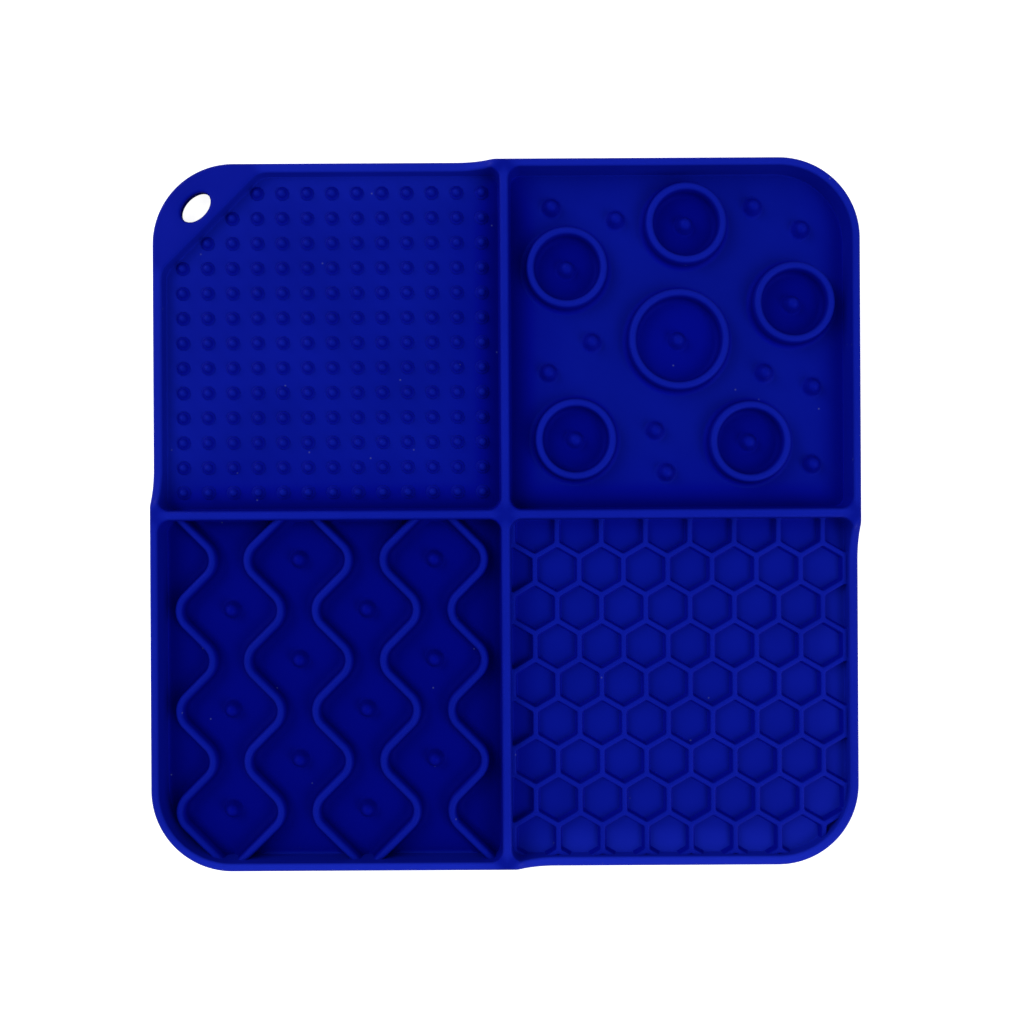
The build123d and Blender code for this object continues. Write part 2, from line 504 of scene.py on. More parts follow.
def put_together(
    name: str,
    surface: Surface,
    finish: SiliconeFinish,
    nodes: Sequence[str],
    trims: np.ndarray | None = None,
) -> bpy.types.Object:
    """Makes a piece of the mat from a surface and sets it in the frame.

    Points that coincide are welded, the trims cut the piece back, openings are closed with flat faces,
    and the faces are turned outwards.

    Args:
        name: The piece's name.
        surface: Its surface, in millimetres.
        finish: Its finish.
        nodes: The solids that it stands for.
        trims: Array (n, 2, 3) of planes, each a point in millimetres and the direction that is cut away.

    Returns:
        The new object.
    """
    mesh = bpy.data.meshes.new(name)
    mesh.from_pydata((surface.vertices * MM).tolist(), [], surface.faces.tolist())
    # The painted highlights and painted shade go onto the mesh as an attribute.
    mesh.attributes.new(PAINTED_SHADING, "FLOAT", "POINT").data.foreach_set("value", surface.lift.astype(np.float32))
    work = bmesh.new()
    work.from_mesh(mesh)
    bmesh.ops.remove_doubles(work, verts=work.verts, dist=WELD * MM)
    for point, direction in [] if trims is None else trims:
        everything = [*work.verts, *work.edges, *work.faces]
        plane = {"plane_co": point * MM, "plane_no": direction}
        bmesh.ops.bisect_plane(work, geom=everything, clear_outer=True, **plane)
    open_edges = [edge for edge in work.edges if edge.is_boundary]
    if trims is not None:
        bmesh.ops.holes_fill(work, edges=open_edges, sides=0)
    elif open_edges:
        bmesh.ops.triangle_fill(work, edges=open_edges, use_beauty=True)
    bmesh.ops.recalc_face_normals(work, faces=work.faces)
    still_open = sum(edge.is_boundary for edge in work.edges)
    work.to_mesh(mesh)
    work.free()
    mesh.polygons.foreach_set("use_smooth", np.ones(len(mesh.polygons), dtype=bool))
    mesh.set_sharp_from_angle(angle=SHARP_ANGLE)
    mesh.materials.append(finish.material())
    piece = bpy.data.objects.new(name, mesh)
    bpy.context.scene.collection.objects.link(piece)
    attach(piece, BODY)
    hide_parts(*nodes)
    count = len(mesh.polygons)
    log.info("%s: %d faces, %d open edges, stands for %s", name, count, still_open, ", ".join(nodes))
    return piece


def put_on_floor(node: str, surface: Surface, trims: np.ndarray | None = None) -> bpy.types.Object:
    """Makes the piece that stands on the floor in place of one node."""
    return put_together(f"{node}_looks", surface, RIDGES, [node], trims)


@dataclass
class BayLoop:
    """Matching points round one bay of the back right quarter, counter-clockwise.

    crest holds the points on the middle lines of the walls, mouth those on the bay's mouth, and outward
    the directions from the bay into its walls. rim says which of them lie along the mat's edge, with
    rim_outward for the directions out of the mat there. hole_columns says which lie by the hanging hole.
    """

    crest: np.ndarray
    mouth: np.ndarray
    outward: np.ndarray
    rim: slice
    rim_outward: np.ndarray
    hole_columns: slice | None


@dataclass
class MatBody:
    """The seamless skin of the mat: floor, rims, dividers, hanging plate and underside."""

    sizes: MatSizes
    side_steps: int = 96
    corner_steps: int = 12
    outer_corner_steps: int = 48
    blend_steps: int = 16
    plate_rows: int = 5
    arc_steps: int = 6
    crest_round: float = 0.75
    outer_round: float = 0.75
    foot_round: float = 0.30
    bottom_round: float = 0.60
    floor_shares: tuple[float, ...] = (0.985, 0.96, 0.93, 0.89, 0.84, 0.6, 0.3, 0.0)
    # Painted shade down the walls and out over the floor, a painted highlight on narrow crests that is
    # stronger on back and front rims, and painted light in place of shade beside low and front rims.
    floor_shades: tuple[float, ...] = (0.68, 0.56, 0.43, 0.31, 0.12, 0.0, 0.0, 0.0)
    side_shade: float = 0.35
    foot_shade: float = 0.73
    crest_painted_shading: float = 0.30
    back_gain: float = 0.20
    front_gain: float = 0.65
    rim_share: float = 0.45
    low_gain: float = 0.55
    front_share: float = 0.60
    least_strength: float = -1.0
    wave_front_share: float = 0.5
    honeycomb_share: float = 0.30
    soft_columns: int = 14
    narrow_reach: float = 1.3
    hole_length: float = 10.0
    hole_width: float = 6.4
    hole_land: float = 2.4
    hole_round: float = 0.9
    hole_flare: float = 3.0
    hole_flare_depth: float = 5.0
    hole_fade: int = 4
    hole_reach: float = 9.0
    nodes: tuple[str, ...] = (
        "base_sheet", "divider_spine", "divider_left", "divider_right", "rim_ring_bay", "rim_wave_bay",
        "rim_honeycomb_bay", "nub_rim_left", "nub_rim_back", "hanging_tab",
    )

    def build(self) -> bpy.types.Object:
        """Builds the whole skin as one closed piece.

        Returns:
            The piece.
        """
        parts: list[Surface] = []
        rims = []
        for bay in Bay:
            loop = self._bay_loop(bay)
            parts += self._bay_surfaces(bay, loop)
            crest = loop.crest[loop.rim]
            height = self.sizes.crest_height(crest, bay)
            # Each rim carries its crest's painted highlight over to the outer side.
            lift = self._crest_painted_shading(bay, loop)[loop.rim]
            rims.append((bay.turned(crest), bay.turned(loop.rim_outward), height, lift))
        parts.append(self._outer_side(*(np.concatenate(kind) for kind in zip(*rims))))
        return put_together("mat_body", Surface.joined(parts), SKIN, self.nodes)

    def _corner(
        self, centre: tuple[float, float], start: float, legs: Sequence[tuple[float, float]]
    ) -> tuple[np.ndarray, ...]:
        """Gives the points round a small corner of a bay.

        The mouth follows a quarter circle, and the crest runs along the two legs to their meeting point
        in the same number of steps.

        Args:
            centre: The centre of the mouth's quarter circle.
            start: The angle at which it starts.
            legs: The first leg's start, the meeting point and the second leg's end.

        Returns:
            Arrays (steps, 2) of crest, mouth and outward directions.
        """
        share = np.arange(self.corner_steps) / self.corner_steps
        outward = directions(start + share * math.pi / 2)
        mouth = np.array(centre) + self.sizes.bay_corner_radius * outward
        return along_line(share, (0, 0.5, 1), np.array(legs)), mouth, outward

    def _side(
        self, start: Sequence[float], end: Sequence[float], outward: Sequence[float], inset: float
    ) -> tuple[np.ndarray, ...]:
        """Gives the points along a straight side of a bay.

        Args:
            start: The crest's first point.
            end: The crest's last point, which belongs to the next stretch.
            outward: The direction out of the bay.
            inset: How far the mouth lies inside the crest.

        Returns:
            Arrays (steps, 2) of crest, mouth and outward directions.
        """
        share = np.arange(self.side_steps)[:, None] / self.side_steps
        crest = np.array(start) + share * (np.array(end) - np.array(start))
        out = np.tile(np.array(outward, dtype=float), (self.side_steps, 1))
        return crest, crest - inset * out, out

    def _round_corner(self) -> tuple[np.ndarray, ...]:
        """Gives the points round a bay's outer corner, where crest and mouth are arcs about one centre.

        Returns:
            Arrays (steps, 2) of crest, mouth and outward directions.
        """
        sizes = self.sizes
        outward = directions(np.arange(self.outer_corner_steps) / self.outer_corner_steps * math.pi / 2)
        crest, mouth = (
            sizes.corner_centre + (sizes.corner_radius - inset) * outward
            for inset in (sizes.rim_width / 2, sizes.rim_width)
        )
        return crest, mouth, outward

    @property
    def cut_start(self) -> float:
        """Where the small arc beside the cut-off corner starts, along the bay's side."""
        sizes = self.sizes
        return sizes.far - sizes.cut_leg - sizes.cut_blend * math.tan(math.pi / 8)

    def _cut_corner(self) -> tuple[np.ndarray, ...]:
        """Gives the points round the cut-off corner of the nub bay.

        The crest follows the mat's own round corner. The mouth follows a small arc, the straight cut and
        another small arc. Over the round of the crest both have the same distance from the diagonal.

        Returns:
            Arrays (steps, 2) of crest, mouth and outward directions.
        """
        sizes = self.sizes
        crest_round, _, _ = self._round_corner()
        across = (crest_round[:, 1] - crest_round[:, 0]) * DIAGONAL
        level = (2 * sizes.far - sizes.cut_leg) * DIAGONAL
        mouth_cut = np.stack([level - across, level + across], axis=1) * DIAGONAL
        outward_cut = np.full_like(mouth_cut, DIAGONAL)
        arc_centre = np.array([sizes.far - sizes.cut_blend, self.cut_start])
        arc_length = sizes.cut_blend * math.pi / 4
        line_length = np.linalg.norm(mouth_cut[0] - arc_centre - sizes.cut_blend * DIAGONAL)
        share = np.arange(self.blend_steps) / self.blend_steps
        run = share * (arc_length + line_length)
        outward = directions(np.minimum(run, arc_length) / sizes.cut_blend)
        past = np.maximum(run - arc_length, 0)[:, None] * np.array([-1, 1]) * DIAGONAL
        mouth = arc_centre + sizes.cut_blend * outward + past
        rise = self.cut_start + share * (sizes.corner_centre - self.cut_start)
        crest = np.stack([np.full_like(rise, sizes.crest), rise], axis=1)
        first = (crest, mouth, outward)
        meeting = ([sizes.crest, sizes.corner_centre], mouth_cut[0], outward_cut[0])
        last = [np.vstack([stretch, end])[:0:-1, ::-1] for stretch, end in zip(first, meeting)]
        stretches = zip(first, (crest_round, mouth_cut, outward_cut), last)
        return tuple(np.concatenate(stretch) for stretch in stretches)

    def _bay_loop(self, bay: Bay) -> BayLoop:
        """Gives the matching points round one bay: four sides, three small corners and the outer corner.

        Args:
            bay: The bay.

        Returns:
            The loop, which starts on the middle divider.
        """
        sizes = self.sizes
        low = sizes.near + sizes.bay_corner_radius
        high = sizes.far - sizes.bay_corner_radius
        crest, half = sizes.crest, sizes.rim_width / 2
        turn = self.cut_start if bay is Bay.NUB else sizes.corner_centre
        stretches = [
            self._side((low, 0), (high, 0), (0, -1), sizes.near),
            self._corner((high, low), -math.pi / 2, ((high, 0), (crest, 0), (crest, low))),
            self._side((crest, low), (crest, turn), (1, 0), half),
            self._cut_corner() if bay is Bay.NUB else self._round_corner(),
            self._side((turn, crest), (low, crest), (0, 1), half),
            self._corner((low, high), math.pi / 2, ((low, crest), (0, crest), (0, high))),
            self._side((0, high), (0, low), (-1, 0), sizes.near),
            self._corner((low, low), math.pi, ((0, low), (0, 0), (low, 0))),
        ]
        starts = np.cumsum([0] + [len(stretch[0]) for stretch in stretches])
        loops = [np.concatenate(kind) for kind in zip(*stretches)]
        rim = slice(starts[1] + self.corner_steps // 2, starts[5] + self.corner_steps // 2)
        rim_outward = self._out_of_mat(loops[0][rim])
        hole_columns = self._hole_columns(loops[0]) if bay is Bay.NUB else None
        return BayLoop(*loops, rim=rim, rim_outward=rim_outward, hole_columns=hole_columns)

    def _out_of_mat(self, crest: np.ndarray) -> np.ndarray:
        """Gives the directions out of the mat: away from the corner's centre, or square to the nearer side.

        Args:
            crest: Array (n, 2) of points on the rim's middle line.

        Returns:
            Array (n, 2) of directions.
        """
        reach = np.clip(crest - self.sizes.corner_centre, 0, None)
        straight = np.where(crest[:, :1] > crest[:, 1:], [[1.0, 0.0]], [[0.0, 1.0]])
        by_corner = np.all(reach > 0, axis=1, keepdims=True)
        length = np.where(by_corner, np.linalg.norm(reach, axis=1, keepdims=True), 1.0)
        return np.where(by_corner, reach / length, straight)

    def _hole_columns(self, crest: np.ndarray) -> slice:
        """Finds the columns of the nub bay that pass the hanging hole.

        Args:
            crest: Array (n, 2) of the loop's points on the walls' middle lines.

        Returns:
            The columns.
        """
        across = np.abs(crest[:, 1] - crest[:, 0]) * DIAGONAL
        inside = np.flatnonzero((across < self.hole_reach) & (crest.sum(axis=1) > self.sizes.crest))
        return slice(inside[0], inside[-1] + 1)

    def _bay_surfaces(self, bay: Bay, loop: BayLoop) -> list[Surface]:
        """Carries the wall's inner profile round a bay and closes the floor.

        From the crest the profile runs level, turns down a round edge, follows the drafted side, and
        meets the floor in a round foot. The floor then shrinks towards the middle of the bay.

        Args:
            bay: The bay.
            loop: Its matching points.

        Returns:
            The surfaces, in the bay's own place.
        """
        sizes = self.sizes
        height = sizes.crest_height(loop.crest, bay)
        ones = np.ones_like(height)
        slope = math.tan(sizes.wall_draft)
        sine, cosine = (part[:, None] for part in quarter_arc(self.arc_steps))
        edge = (sizes.wall_top - height + self.crest_round) * slope - self.crest_round
        foot = (sizes.wall_top - sizes.floor_top - self.foot_round) * slope
        foot_in = foot + self.foot_round * (1 - cosine)
        foot_level = sizes.floor_top + self.foot_round * (1 - sine)
        inward = np.concatenate([edge + self.crest_round * sine, foot_in * ones])
        level = np.concatenate([height - self.crest_round * (1 - cosine), foot_level * ones])
        wall = raised(loop.mouth - inward[..., None] * loop.outward, level)
        share = np.linspace(0, 1, self.plate_rows + 1)[:-1, None, None]
        brink = loop.mouth - edge[:, None] * loop.outward
        plate = raised(loop.crest + share * (brink - loop.crest), height)
        middle = np.array([sizes.near + sizes.span / 2] * 2 + [sizes.floor_top])
        floor = middle + np.array(self.floor_shares)[:, None, None] * (wall[-1] - middle)
        rows = np.concatenate([plate, wall, floor])
        # The painted highlight on the crest fades down the round edge, and painted shade grows down the wall
        # and out over the floor.
        fade = np.concatenate([np.ones(len(plate)), cosine[:, 0], np.zeros(len(foot_in) + len(floor))])
        lift = fade[:, None] * self._crest_painted_shading(bay, loop) - self._shade(bay, loop)
        if loop.hole_columns is None:
            surfaces = [Surface.from_grid(rows, lift, close_columns=True)]
        else:
            surfaces = self._plate_with_hole(rows, lift, loop.hole_columns)
        for surface in surfaces:
            surface.vertices = bay.turned(surface.vertices)
        return surfaces

    def _narrow(self, loop: BayLoop) -> np.ndarray:
        """Gives for each column how narrow its crest is: 1 on a rim or divider, 0 on a broad plate."""
        breadth = np.linalg.norm(loop.mouth - loop.crest, axis=1)
        return 1 - np.clip((breadth - self.narrow_reach) / self.narrow_reach, 0, 1)

    def _by_rim(self, loop: BayLoop) -> np.ndarray:
        """Tells for each column whether it lies by a rim, not by a divider."""
        beyond = np.max(loop.crest, axis=1) > self.sizes.far
        return beyond | (np.min(loop.crest, axis=1) > self.sizes.corner_centre)

    def _facing(self, bay: Bay, loop: BayLoop) -> np.ndarray:
        """Gives for each column how far its rim faces the back: -1 on a front rim and 0 on a divider."""
        back = bay.turned(loop.outward)[:, 1]
        return np.where(self._by_rim(loop), np.abs(back) * back, 0.0)

    def _softened(self, values: np.ndarray) -> np.ndarray:
        """Gives the running mean of values along a loop."""
        steps = range(-self.soft_columns, self.soft_columns + 1)
        return np.mean([np.roll(values, step) for step in steps], axis=0)

    def _crest_painted_shading(self, bay: Bay, loop: BayLoop) -> np.ndarray:
        """Gives the painted highlight of each column's crest, greatest on the front rims and none on a broad
        plate.

        Args:
            bay: The bay.
            loop: Its matching points.

        Returns:
            Array (n,) of painted highlights.
        """
        facing = self._facing(bay, loop)
        gain = np.where(facing > 0, self.back_gain, self.front_gain) * np.abs(facing)
        return self._softened(self.crest_painted_shading + gain) * self._narrow(loop)

    def _strength(self, bay: Bay, loop: BayLoop) -> np.ndarray:
        """Gives how strongly each column of a bay's grid gets painted shade from its wall.

        The strength goes with the square of the wall's height. Rims get less painted shade than dividers,
        and the shallow honeycomb bay gets less. Beside low and front rims the strength is below zero and
        paints light instead. A running mean along the loop softens the changes.

        Args:
            bay: The bay.
            loop: Its matching points.

        Returns:
            Array (n,) of strengths up to 1.
        """
        sizes = self.sizes
        height = sizes.crest_height(loop.crest, bay)
        depth = (height - sizes.floor_top) / (sizes.wall_top - sizes.floor_top)
        lowness = (sizes.wall_top - height) / (sizes.wall_top - sizes.low_top)
        facing = self._facing(bay, loop)
        rim = self.rim_share * depth**2 * (1 - np.maximum(facing, 0))
        rim -= self.low_gain * lowness + self.front_share * np.maximum(-facing, 0)
        divider = depth**2 * (self.honeycomb_share if bay is Bay.HONEYCOMB else 1.0)
        strength = np.where(self._by_rim(loop), rim, divider)
        return self._softened(np.maximum(strength, self.least_strength))

    def _shade(self, bay: Bay, loop: BayLoop) -> np.ndarray:
        """Gives how much painted shade each point of a bay's grid shows beside a wall.

        The painted shade grows down the wall, is strongest at its foot and fades along the floor. The floor
        between the waves has a little painted shade all over, in place of the shade that the waves cast.

        Args:
            bay: The bay.
            loop: Its matching points.

        Returns:
            Array (rows, n) of painted shades up to 1.
        """
        sine, _ = quarter_arc(self.arc_steps)
        foot = np.linspace(self.side_shade, self.foot_shade, len(sine))
        rows = np.concatenate([np.zeros(self.plate_rows), self.side_shade * sine, foot, self.floor_shades])
        shade = rows[:, None] * self._strength(bay, loop)
        if bay is Bay.WAVE:
            floor = shade[-len(self.floor_shades) :]
            by_front = np.clip(-floor / self.floor_shades[0], 0, 1)
            floor[:] = np.maximum(floor, WAVE_FLOOR_SHADE * (1 - self.wave_front_share * by_front))
        return shade

    def _plate_with_hole(self, rows: np.ndarray, lift: np.ndarray, columns: slice) -> list[Surface]:
        """Leaves a block of the hanging plate out of a bay's grid and fits the oval hole into it.

        Args:
            rows: The nub bay's grid, with the plate in its first rows.
            lift: The grid's painted shading.
            columns: The columns that the block spans.

        Returns:
            The grid without the block, and the surface round the hole.
        """
        first, last = columns.start, columns.stop - 1
        plate = rows[: self.plate_rows + 1]
        kept = rows.shape[1] - (last - first) + 1
        beside, beside_painted_shading = (
            np.roll(kind, -last, axis=1)[: self.plate_rows + 1, :kept] for kind in (rows, lift)
        )
        below = Surface.from_grid(rows[self.plate_rows :], lift[self.plate_rows :], close_columns=True)
        border = np.concatenate([
            plate[-1, first:last], plate[:0:-1, last], plate[0, last:first:-1], plate[:-1, first],
        ])
        return [Surface.from_grid(beside, beside_painted_shading), below, self._hole(border)]

    def _hole(self, border: np.ndarray) -> Surface:
        """Makes the surface from the border of the left-out block down through the hanging hole.

        The border is joined along straight rays to an oval about the hole's middle. From there the hole's
        edge turns down a quarter round, and its wall flares out to the underside along a quarter oval.

        Args:
            border: Array (n, 3) of the block's border.

        Returns:
            The surface, open at the underside.
        """
        sizes = self.sizes
        half_length, half_width = self.hole_length / 2, self.hole_width / 2
        setback = (sizes.cut_leg - (self.hole_land + half_width) / DIAGONAL) / 2
        middle = sizes.far - setback
        axes = np.array([(-1, 1), (1, 1)]) * DIAGONAL
        rays = (border[:, :2] - middle) @ axes.T
        sine, cosine = quarter_arc(self.arc_steps)
        top = sizes.low_top - self.hole_round * (1 - cosine)
        level = np.concatenate([top, self.hole_flare_depth * (1 - sine)])[:, None]
        grow = np.concatenate([self.hole_round * (1 - sine), self.hole_flare * (1 - cosine)])[:, None]
        reach = 1 / np.hypot(rays[:, 0] / (half_length + grow), rays[:, 1] / (half_width + grow))
        walls = raised(middle + (reach[..., None] * rays) @ axes, level)
        halfway = (border + walls[0]) / 2
        # Painted shade deepens down the hole's round edge and is deepest on its flared wall.
        lift = np.concatenate([[0.0, 0.0], -(sine**self.hole_fade), -np.ones_like(sine)])[:, None]
        hole = np.concatenate([border[None], halfway[None], walls])
        return Surface.from_grid(hole, lift, close_columns=True)

    def _outer_side(
        self, crest: np.ndarray, outward: np.ndarray, height: np.ndarray, lift: np.ndarray
    ) -> Surface:
        """Carries the rim's outer profile round the mat.

        From the crest the profile runs level, turns down a round edge, follows the drafted side to the
        floor's height, drops straight and turns under the mat.

        Args:
            crest: Array (n, 2) of the points on the rim's middle line.
            outward: Array (n, 2) of the directions out of the mat.
            height: Array (n,) of the crest's heights.
            lift: Array (n,) of the crest's painted highlights.

        Returns:
            The surface, open at the underside.
        """
        sizes = self.sizes
        sine, cosine = (part[:, None] for part in quarter_arc(self.arc_steps))
        ones = np.ones((1, len(height)))
        reach = sizes.rim_width / 2
        edge = reach - (height - sizes.floor_top) * math.tan(sizes.outer_draft) - self.outer_round
        under = reach - self.bottom_round * (1 - cosine)
        away = np.concatenate([0 * ones, edge + self.outer_round * sine, reach * ones, under * ones])
        level = np.concatenate([
            height * ones,
            height - self.outer_round * (1 - cosine),
            sizes.floor_top * ones,
            self.bottom_round * (1 - sine) * ones,
        ])
        # The crest's painted highlight fades down the outer round edge.
        fade = np.concatenate([[1.0], cosine[:, 0], np.zeros(len(cosine) + 1)])[:, None]
        grid = raised(crest + away[..., None] * outward, level)
        return Surface.from_grid(grid, fade * lift, close_columns=True)


@dataclass(frozen=True)
class Ridge:
    """The section that rings and waves share: a round top, drafted sides and flared feet."""

    width: float = 2.1
    draft: float = math.radians(3.0)
    top_round: float = 0.90
    foot_round: float = 1.6
    sink: float = 0.3
    arc_steps: int = 6
    # Painted highlight on the top, painted shade down the sides and at the foot, the floor's painted shade
    # at the end, and the painted shade of the thin sheet over the floor.
    crest_painted_shading: float = 0.22
    side_shade: float = 0.30
    foot_shade: float = 0.65
    floor_shade: float = 0.0
    shade_sheet_reach: float = 0.0
    shade_sheet_rise: float = 0.02
    shade_sheet_strength: float = 0.0

    def section(self, floor: float, height: float) -> np.ndarray:
        """Gives the closed section as offsets from the ridge's middle and levels.

        Each half runs from the top's middle over a quarter round, down the drafted side and out along a
        quarter round to the floor, and then a little way below it. A thin sheet, there only to carry painted
        shade over the floor, goes on from the left foot, a hair above the floor.

        Args:
            floor: The level of the floor.
            height: How high the ridge stands over it.

        Returns:
            Array (2, n) of offsets and levels, to be closed through the bottom.
        """
        sine, cosine = quarter_arc(self.arc_steps)
        top = floor + height
        foot = self.width / 2 + (height - self.top_round - self.foot_round) * math.tan(self.draft)
        edge = [self.width / 2 - self.top_round * (1 - sine), top - self.top_round * (1 - cosine)]
        flare = [foot + self.foot_round * (1 - cosine), floor + self.foot_round * (1 - sine)]
        below = [[foot + self.foot_round], [floor - self.sink]]
        right = np.concatenate([edge, flare, below], axis=1)
        left = right[:, ::-1] * [[-1], [1]]
        if self.shade_sheet_reach > 0:
            left[0, 0] = -self.shade_sheet_reach
            left[1, 1] += self.shade_sheet_rise
            left = np.insert(left, 1, [left[0, 0], left[1, 1]], axis=1)
        return np.concatenate([left, right], axis=1)

    def lift(self) -> np.ndarray:
        """Gives the section's painted shading: a painted highlight on the top, painted shade deepest above
        the foot, and the floor's painted shade at its end.

        Returns:
            Array (n,) of painted shading values.
        """
        _, cosine = quarter_arc(self.arc_steps)
        edge = self.crest_painted_shading * cosine - self.side_shade * (1 - cosine)
        left_shade = self.shade_sheet_strength if self.shade_sheet_reach > 0 else self.floor_shade
        left, right = (
            np.concatenate([edge, (self.foot_shade - shade) * (1 - cosine) - self.foot_shade, [-shade]])
            for shade in (left_shade, self.floor_shade)
        )
        if self.shade_sheet_reach > 0:
            left = np.append(left, -self.shade_sheet_strength)
        return np.concatenate([left[::-1], right])


@dataclass(frozen=True)
class Nub:
    """A round nub with a flared foot and a domed top, turned about its own axis."""

    base: float = 4.6
    shoulder: float = 3.7
    flare: float = 1.1
    dome: float = 2.0
    sink: float = 0.3
    around: int = 20
    dome_steps: int = 5
    flare_steps: int = 4
    # Painted shading on the top, a painted highlight above zero and painted shade below, painted shade on
    # the flank, and the floor's painted shade at the foot.
    crest_painted_shading: float = -0.10
    side_shade: float = 0.25
    floor_shade: float = 0.0

    def surface(self, floor: float, height: float) -> Surface:
        """Turns the profile: a flared foot, a straight flank and a dome that closes at the top.

        Args:
            floor: The level of the floor.
            height: How high the nub stands over it.

        Returns:
            The nub about the origin.
        """
        sine, cosine = quarter_arc(self.dome_steps)
        low_sine, low_cosine = quarter_arc(self.flare_steps)
        base, shoulder = self.base / 2, self.shoulder / 2
        below = [[0.0, base + self.flare], [-self.sink, -self.sink]]
        foot = [base + self.flare * (1 - low_sine), self.flare * (1 - low_cosine)]
        crown = [shoulder * cosine, height - self.dome + self.dome * sine]
        radius, rise = np.concatenate([below, foot, crown], axis=1)[..., None]
        grid = raised(radius[..., None] * circle(self.around), floor + rise)
        # Painted shade runs from the floor's up the foot to the flank, and the dome goes over to its painted
        # top.
        below_painted_shading = [-self.floor_shade] * len(below[0])
        foot_painted_shading = -self.floor_shade - (self.side_shade - self.floor_shade) * low_sine
        crown_painted_shading = self.crest_painted_shading * sine**2 - self.side_shade * (1 - sine**2)
        lift = np.concatenate([below_painted_shading, foot_painted_shading, crown_painted_shading])[:, None]
        return Surface.from_grid(grid, lift, close_columns=True)


@dataclass
class NubBay:
    """The square field of short nubs in the back left bay."""

    sizes: MatSizes
    pitch: float = 7.14
    edge_gap: float = 4.0
    corner_gap: float = 1.75
    # The nubs carry a painted highlight on their tops.
    nub: Nub = Nub(
        base=3.2,
        shoulder=2.7,
        flare=0.5,
        dome=1.25,
        around=10,
        dome_steps=3,
        flare_steps=1,
        crest_painted_shading=0.13,
    )

    def build(self) -> bpy.types.Object:
        """Builds the field of nubs as one piece."""
        nub = self.nub.surface(self.sizes.floor_top, self.sizes.height_of("nub_field"))
        return put_on_floor("nub_field", nub.repeated(self._places()))

    def _places(self) -> np.ndarray:
        """Gives the nubs' places: a square grid, less those with no room beside the cut-off corner.

        Returns:
            Array (n, 2) of places in plan.
        """
        sizes = self.sizes
        count = int((sizes.span - 2 * self.edge_gap) / self.pitch) + 1
        steps = sizes.near + sizes.span / 2 + (np.arange(count) - (count - 1) / 2) * self.pitch
        x, y = (axis.ravel() for axis in np.meshgrid(steps, steps))
        keep = x + y < 2 * sizes.far - sizes.cut_leg - self.corner_gap / DIAGONAL
        return Bay.NUB.turned(np.stack([x[keep], y[keep]], axis=1))


@dataclass
class RingBay:
    """The ring walls, the nubs in their middles and the nubs scattered between them."""

    sizes: MatSizes
    ring_diameter: float = 22.9
    large_diameter: float = 28.5
    around: int = 112
    ridge: Ridge = Ridge()
    # Painted shade on the floor inside the rings, carried by a thin sheet that ends this far from a ring's
    # middle.
    inner_shade: float = 0.50
    large_inner_shade: float = 0.35
    shade_sheet_end: float = 3.0
    ring_shares: tuple[tuple[float, float], ...] = (
        (0.171, 0.713), (0.522, 0.842), (0.840, 0.607), (0.195, 0.207), (0.709, 0.198),
    )
    large_share: tuple[float, float] = (0.5, 0.5)
    nub_shares: tuple[tuple[float, float], ...] = (
        (0.127, 0.897), (0.318, 0.860), (0.726, 0.896), (0.867, 0.829), (0.246, 0.497), (0.117, 0.407),
        (0.758, 0.404), (0.900, 0.362), (0.433, 0.234), (0.465, 0.110), (0.898, 0.132),
    )

    def build(self) -> list[bpy.types.Object]:
        """Builds the small rings, the large ring and the two sets of nubs.

        Returns:
            The pieces.
        """
        rings, middle = self._places(self.ring_shares), self._places([self.large_share])
        small = self._ring(self.ring_diameter, self.inner_shade)
        large = self._ring(self.large_diameter, self.large_inner_shade)
        ring_nubs = self._nub(self.inner_shade).repeated(rings)
        middle_nub = self._nub(self.large_inner_shade).repeated(middle)
        return [
            put_on_floor("ring_cups", small.repeated(rings)),
            put_on_floor("ring_cup_large", large.repeated(middle)),
            put_on_floor("ring_centre_nubs", Surface.joined([ring_nubs, middle_nub])),
            put_on_floor("scattered_nubs", self._nub(0.0).repeated(self._places(self.nub_shares))),
        ]

    def _places(self, shares: Sequence[tuple[float, float]]) -> np.ndarray:
        """Turns shares of the bay's span into places."""
        return self.sizes.near + np.array(shares) * self.sizes.span

    def _nub(self, floor_shade: float) -> Surface:
        """Makes one tall nub for a floor of the given painted shade."""
        height = self.sizes.height_of("ring_centre_nubs")
        return Nub(floor_shade=floor_shade).surface(self.sizes.floor_top, height)

    def _ring(self, diameter: float, inner_shade: float) -> Surface:
        """Carries the ridge's section round a circle, with a thin sheet that carries painted shade over the
        floor inside it.

        Args:
            diameter: The ring's outside diameter.
            inner_shade: How much painted shade the floor inside shows.

        Returns:
            The ring about the origin.
        """
        middle = (diameter - self.ridge.width) / 2
        ridge = replace(self.ridge, shade_sheet_reach=middle - self.shade_sheet_end, shade_sheet_strength=inner_shade)
        away, level = ridge.section(self.sizes.floor_top, self.sizes.height_of("ring_cups"))
        grid = raised((middle + away)[:, None] * circle(self.around)[:, None], level)
        return Surface.from_grid(grid, ridge.lift(), close_rows=True, close_columns=True)


